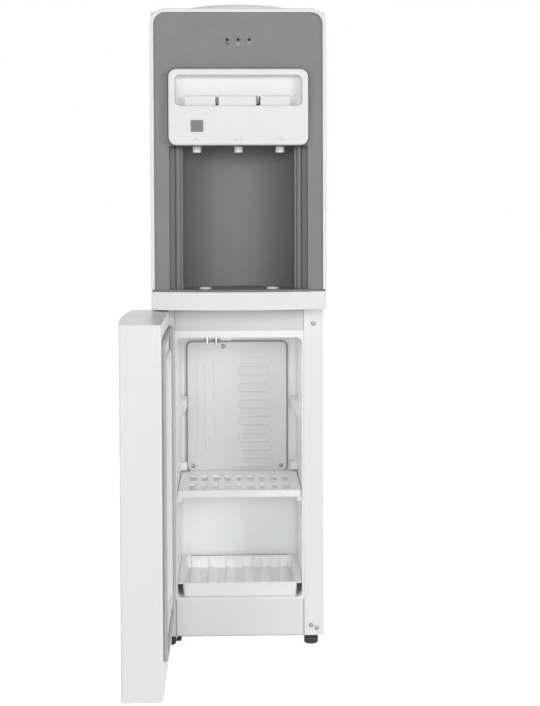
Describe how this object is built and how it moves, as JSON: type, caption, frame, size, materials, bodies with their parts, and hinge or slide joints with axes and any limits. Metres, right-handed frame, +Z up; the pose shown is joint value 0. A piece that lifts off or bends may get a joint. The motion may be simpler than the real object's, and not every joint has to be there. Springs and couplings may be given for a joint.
{
  "type": "water cooler with refrigerated cabinet",
  "caption": "Slim floor-standing water dispenser with a cup bay under press keys, a round bottle seat on top and a hinged refrigerated cabinet with shelf and tray below.",
  "frame": {"origin": "on the floor, under the middle of the front rim of the tower", "axes": "+X to the right seen from the front, +Y to the back, +Z up; the front faces -Y"},
  "size_m": [0.343, 0.6272, 1.127],
  "materials": {
    "white_gloss": "satin",
    "white_paint": "satin",
    "liner_white": "satin",
    "grey_panel": "matte",
    "grey_button": "matte",
    "dark_plastic": "matte",
    "gasket_grey": "matte",
    "black_rubber": "matte",
    "hinge_black": "satin",
    "zinc_steel": "satin",
    "screw_steel": "satin",
    "tank_steel": "satin",
    "cold_plate": "satin",
    "coil_copper": "satin",
    "foam_yellow": "matte",
    "foam_white": "matte",
    "hose_clear": "satin",
    "valve_white": "satin",
    "compressor_black": "satin",
    "condenser_black": "matte",
    "light_dark": "gloss",
    "rocker_red": "gloss",
    "rocker_green": "gloss"
  },
  "bodies": {
    "cabinet": {"side_panel_left": "white_paint", "side_panel_right": "white_paint", "back_panel": "zinc_steel", "base_plate": "zinc_steel", "deck_plate": "zinc_steel", "tank_shelf": "zinc_steel", "top_cover": "white_gloss", "front_rim": "white_gloss", "fascia": "grey_panel", "status_lights": "light_dark", "alcove": "grey_panel", "drip_apron": "white_gloss", "tap_panel": "white_gloss", "cold_tank": "tank_steel", "cold_coil": "coil_copper", "cold_jacket": "foam_white", "hot_tank": "tank_steel", "hot_jacket": "foam_white", "hot_hose": "hose_clear", "normal_hose": "hose_clear", "cold_hose": "hose_clear", "fridge_liner": "liner_white", "cabinet_foam": "foam_yellow", "evaporator_plate": "cold_plate", "sensor_clip": "valve_white", "front_rail": "white_paint", "kick_panel": "liner_white", "screws": "screw_steel", "hinge_bottom": "hinge_black", "hinge_top": "hinge_black", "feet_rear": "black_rubber", "compressor": "compressor_black", "compressor_mounts": "black_rubber", "condenser": "condenser_black", "service_plate": "dark_plastic", "valve_hot": "valve_white", "valve_normal": "valve_white", "valve_cold": "valve_white"},
    "door": {"door_panel": "white_gloss", "door_foam": "foam_yellow", "door_liner": "liner_white", "door_gasket": "gasket_grey"},
    "lock_button": {"lock_button": "grey_button"},
    "shelf": {"shelf": "liner_white"},
    "lower_tray": {"lower_tray": "liner_white"},
    "drip_cup": {"drip_cup": "white_gloss"},
    "drip_grille": {"drip_grille": "grey_panel"},
    "bottle_seat": {"bottle_seat": "white_gloss", "feed_tube": "valve_white"},
    "foot_front_left": {"foot_front_left": "black_rubber"},
    "foot_front_right": {"foot_front_right": "black_rubber"},
    "rocker_hot": {"rocker_hot": "rocker_red"},
    "rocker_cold": {"rocker_cold": "rocker_green"},
    "drain_cap": {"drain_cap": "valve_white"},
    "key_hot": {"key_hot": "white_gloss"},
    "plunger_hot": {"plunger_hot": "valve_white"},
    "key_normal": {"key_normal": "white_gloss"},
    "plunger_normal": {"plunger_normal": "valve_white"},
    "key_cold": {"key_cold": "white_gloss"},
    "plunger_cold": {"plunger_cold": "valve_white"}
  },
  "joints": [
    {"name": "door_hinge", "type": "hinge", "parent": "cabinet", "child": "door", "pos_m": [-0.139, 0.047, 0.306], "axis": [0, 0, -1], "range_deg": [-90, 20]},
    {"name": "key_hot_press", "type": "hinge", "parent": "cabinet", "child": "key_hot", "pos_m": [-0.0646, 0.046, 0.96], "axis": [1, 0, 0], "range_deg": [0, 8], "stiffness_Nm_per_rad": 1, "springref_deg": -6.88},
    {"name": "plunger_hot_slide", "type": "slide", "parent": "cabinet", "child": "plunger_hot", "axis": [0, 0, -1], "range_m": [0, 0.0034]},
    {"name": "key_normal_press", "type": "hinge", "parent": "cabinet", "child": "key_normal", "pos_m": [-0.00145, 0.046, 0.96], "axis": [1, 0, 0], "range_deg": [0, 8], "stiffness_Nm_per_rad": 1, "springref_deg": -6.88},
    {"name": "plunger_normal_slide", "type": "slide", "parent": "cabinet", "child": "plunger_normal", "axis": [0, 0, -1], "range_m": [0, 0.0034]},
    {"name": "key_cold_press", "type": "hinge", "parent": "cabinet", "child": "key_cold", "pos_m": [0.06225, 0.046, 0.96], "axis": [1, 0, 0], "range_deg": [0, 8], "stiffness_Nm_per_rad": 1, "springref_deg": -6.88},
    {"name": "plunger_cold_slide", "type": "slide", "parent": "cabinet", "child": "plunger_cold", "axis": [0, 0, -1], "range_m": [0, 0.0034]},
    {"name": "lock_push", "type": "slide", "parent": "cabinet", "child": "lock_button", "axis": [0, 1, 0], "range_m": [0, 0.003], "stiffness_N_per_m": 400, "springref_m": -0.002},
    {"name": "shelf_slide", "type": "slide", "parent": "cabinet", "child": "shelf", "axis": [0, -1, 0], "range_m": [0, 0.15]},
    {"name": "tray_slide", "type": "slide", "parent": "cabinet", "child": "lower_tray", "axis": [0, -1, 0], "range_m": [0, 0.15]},
    {"name": "drip_cup_lift", "type": "slide", "parent": "cabinet", "child": "drip_cup", "axis": [0, 0, 1], "range_m": [0, 0.06]},
    {"name": "grille_lift", "type": "slide", "parent": "drip_cup", "child": "drip_grille", "axis": [0, 0, 1], "range_m": [0, 0.05]},
    {"name": "bottle_seat_lift", "type": "slide", "parent": "cabinet", "child": "bottle_seat", "axis": [0, 0, 1], "range_m": [0, 0.12]},
    {"name": "foot_front_left_turn", "type": "hinge", "parent": "cabinet", "child": "foot_front_left", "pos_m": [-0.1265, 0.085, 0.01], "axis": [0, 0, 1], "continuous": true},
    {"name": "foot_front_right_turn", "type": "hinge", "parent": "cabinet", "child": "foot_front_right", "pos_m": [0.1265, 0.085, 0.01], "axis": [0, 0, 1], "continuous": true},
    {"name": "rocker_hot_tip", "type": "hinge", "parent": "cabinet", "child": "rocker_hot", "pos_m": [-0.109, 0.37, 0.274], "axis": [1, 0, 0], "range_deg": [-16, 0]},
    {"name": "rocker_cold_tip", "type": "hinge", "parent": "cabinet", "child": "rocker_cold", "pos_m": [-0.081, 0.37, 0.274], "axis": [1, 0, 0], "range_deg": [-16, 0]},
    {"name": "drain_cap_turn", "type": "hinge", "parent": "cabinet", "child": "drain_cap", "pos_m": [0.125, 0.378, 0.655], "axis": [0, 1, 0], "continuous": true}
  ],
  "couplings": [
    {"joint": "plunger_hot_slide", "follows": "key_hot_press", "m_per_rad": 0.024},
    {"joint": "plunger_normal_slide", "follows": "key_normal_press", "m_per_rad": 0.024},
    {"joint": "plunger_cold_slide", "follows": "key_cold_press", "m_per_rad": 0.024}
  ]
}
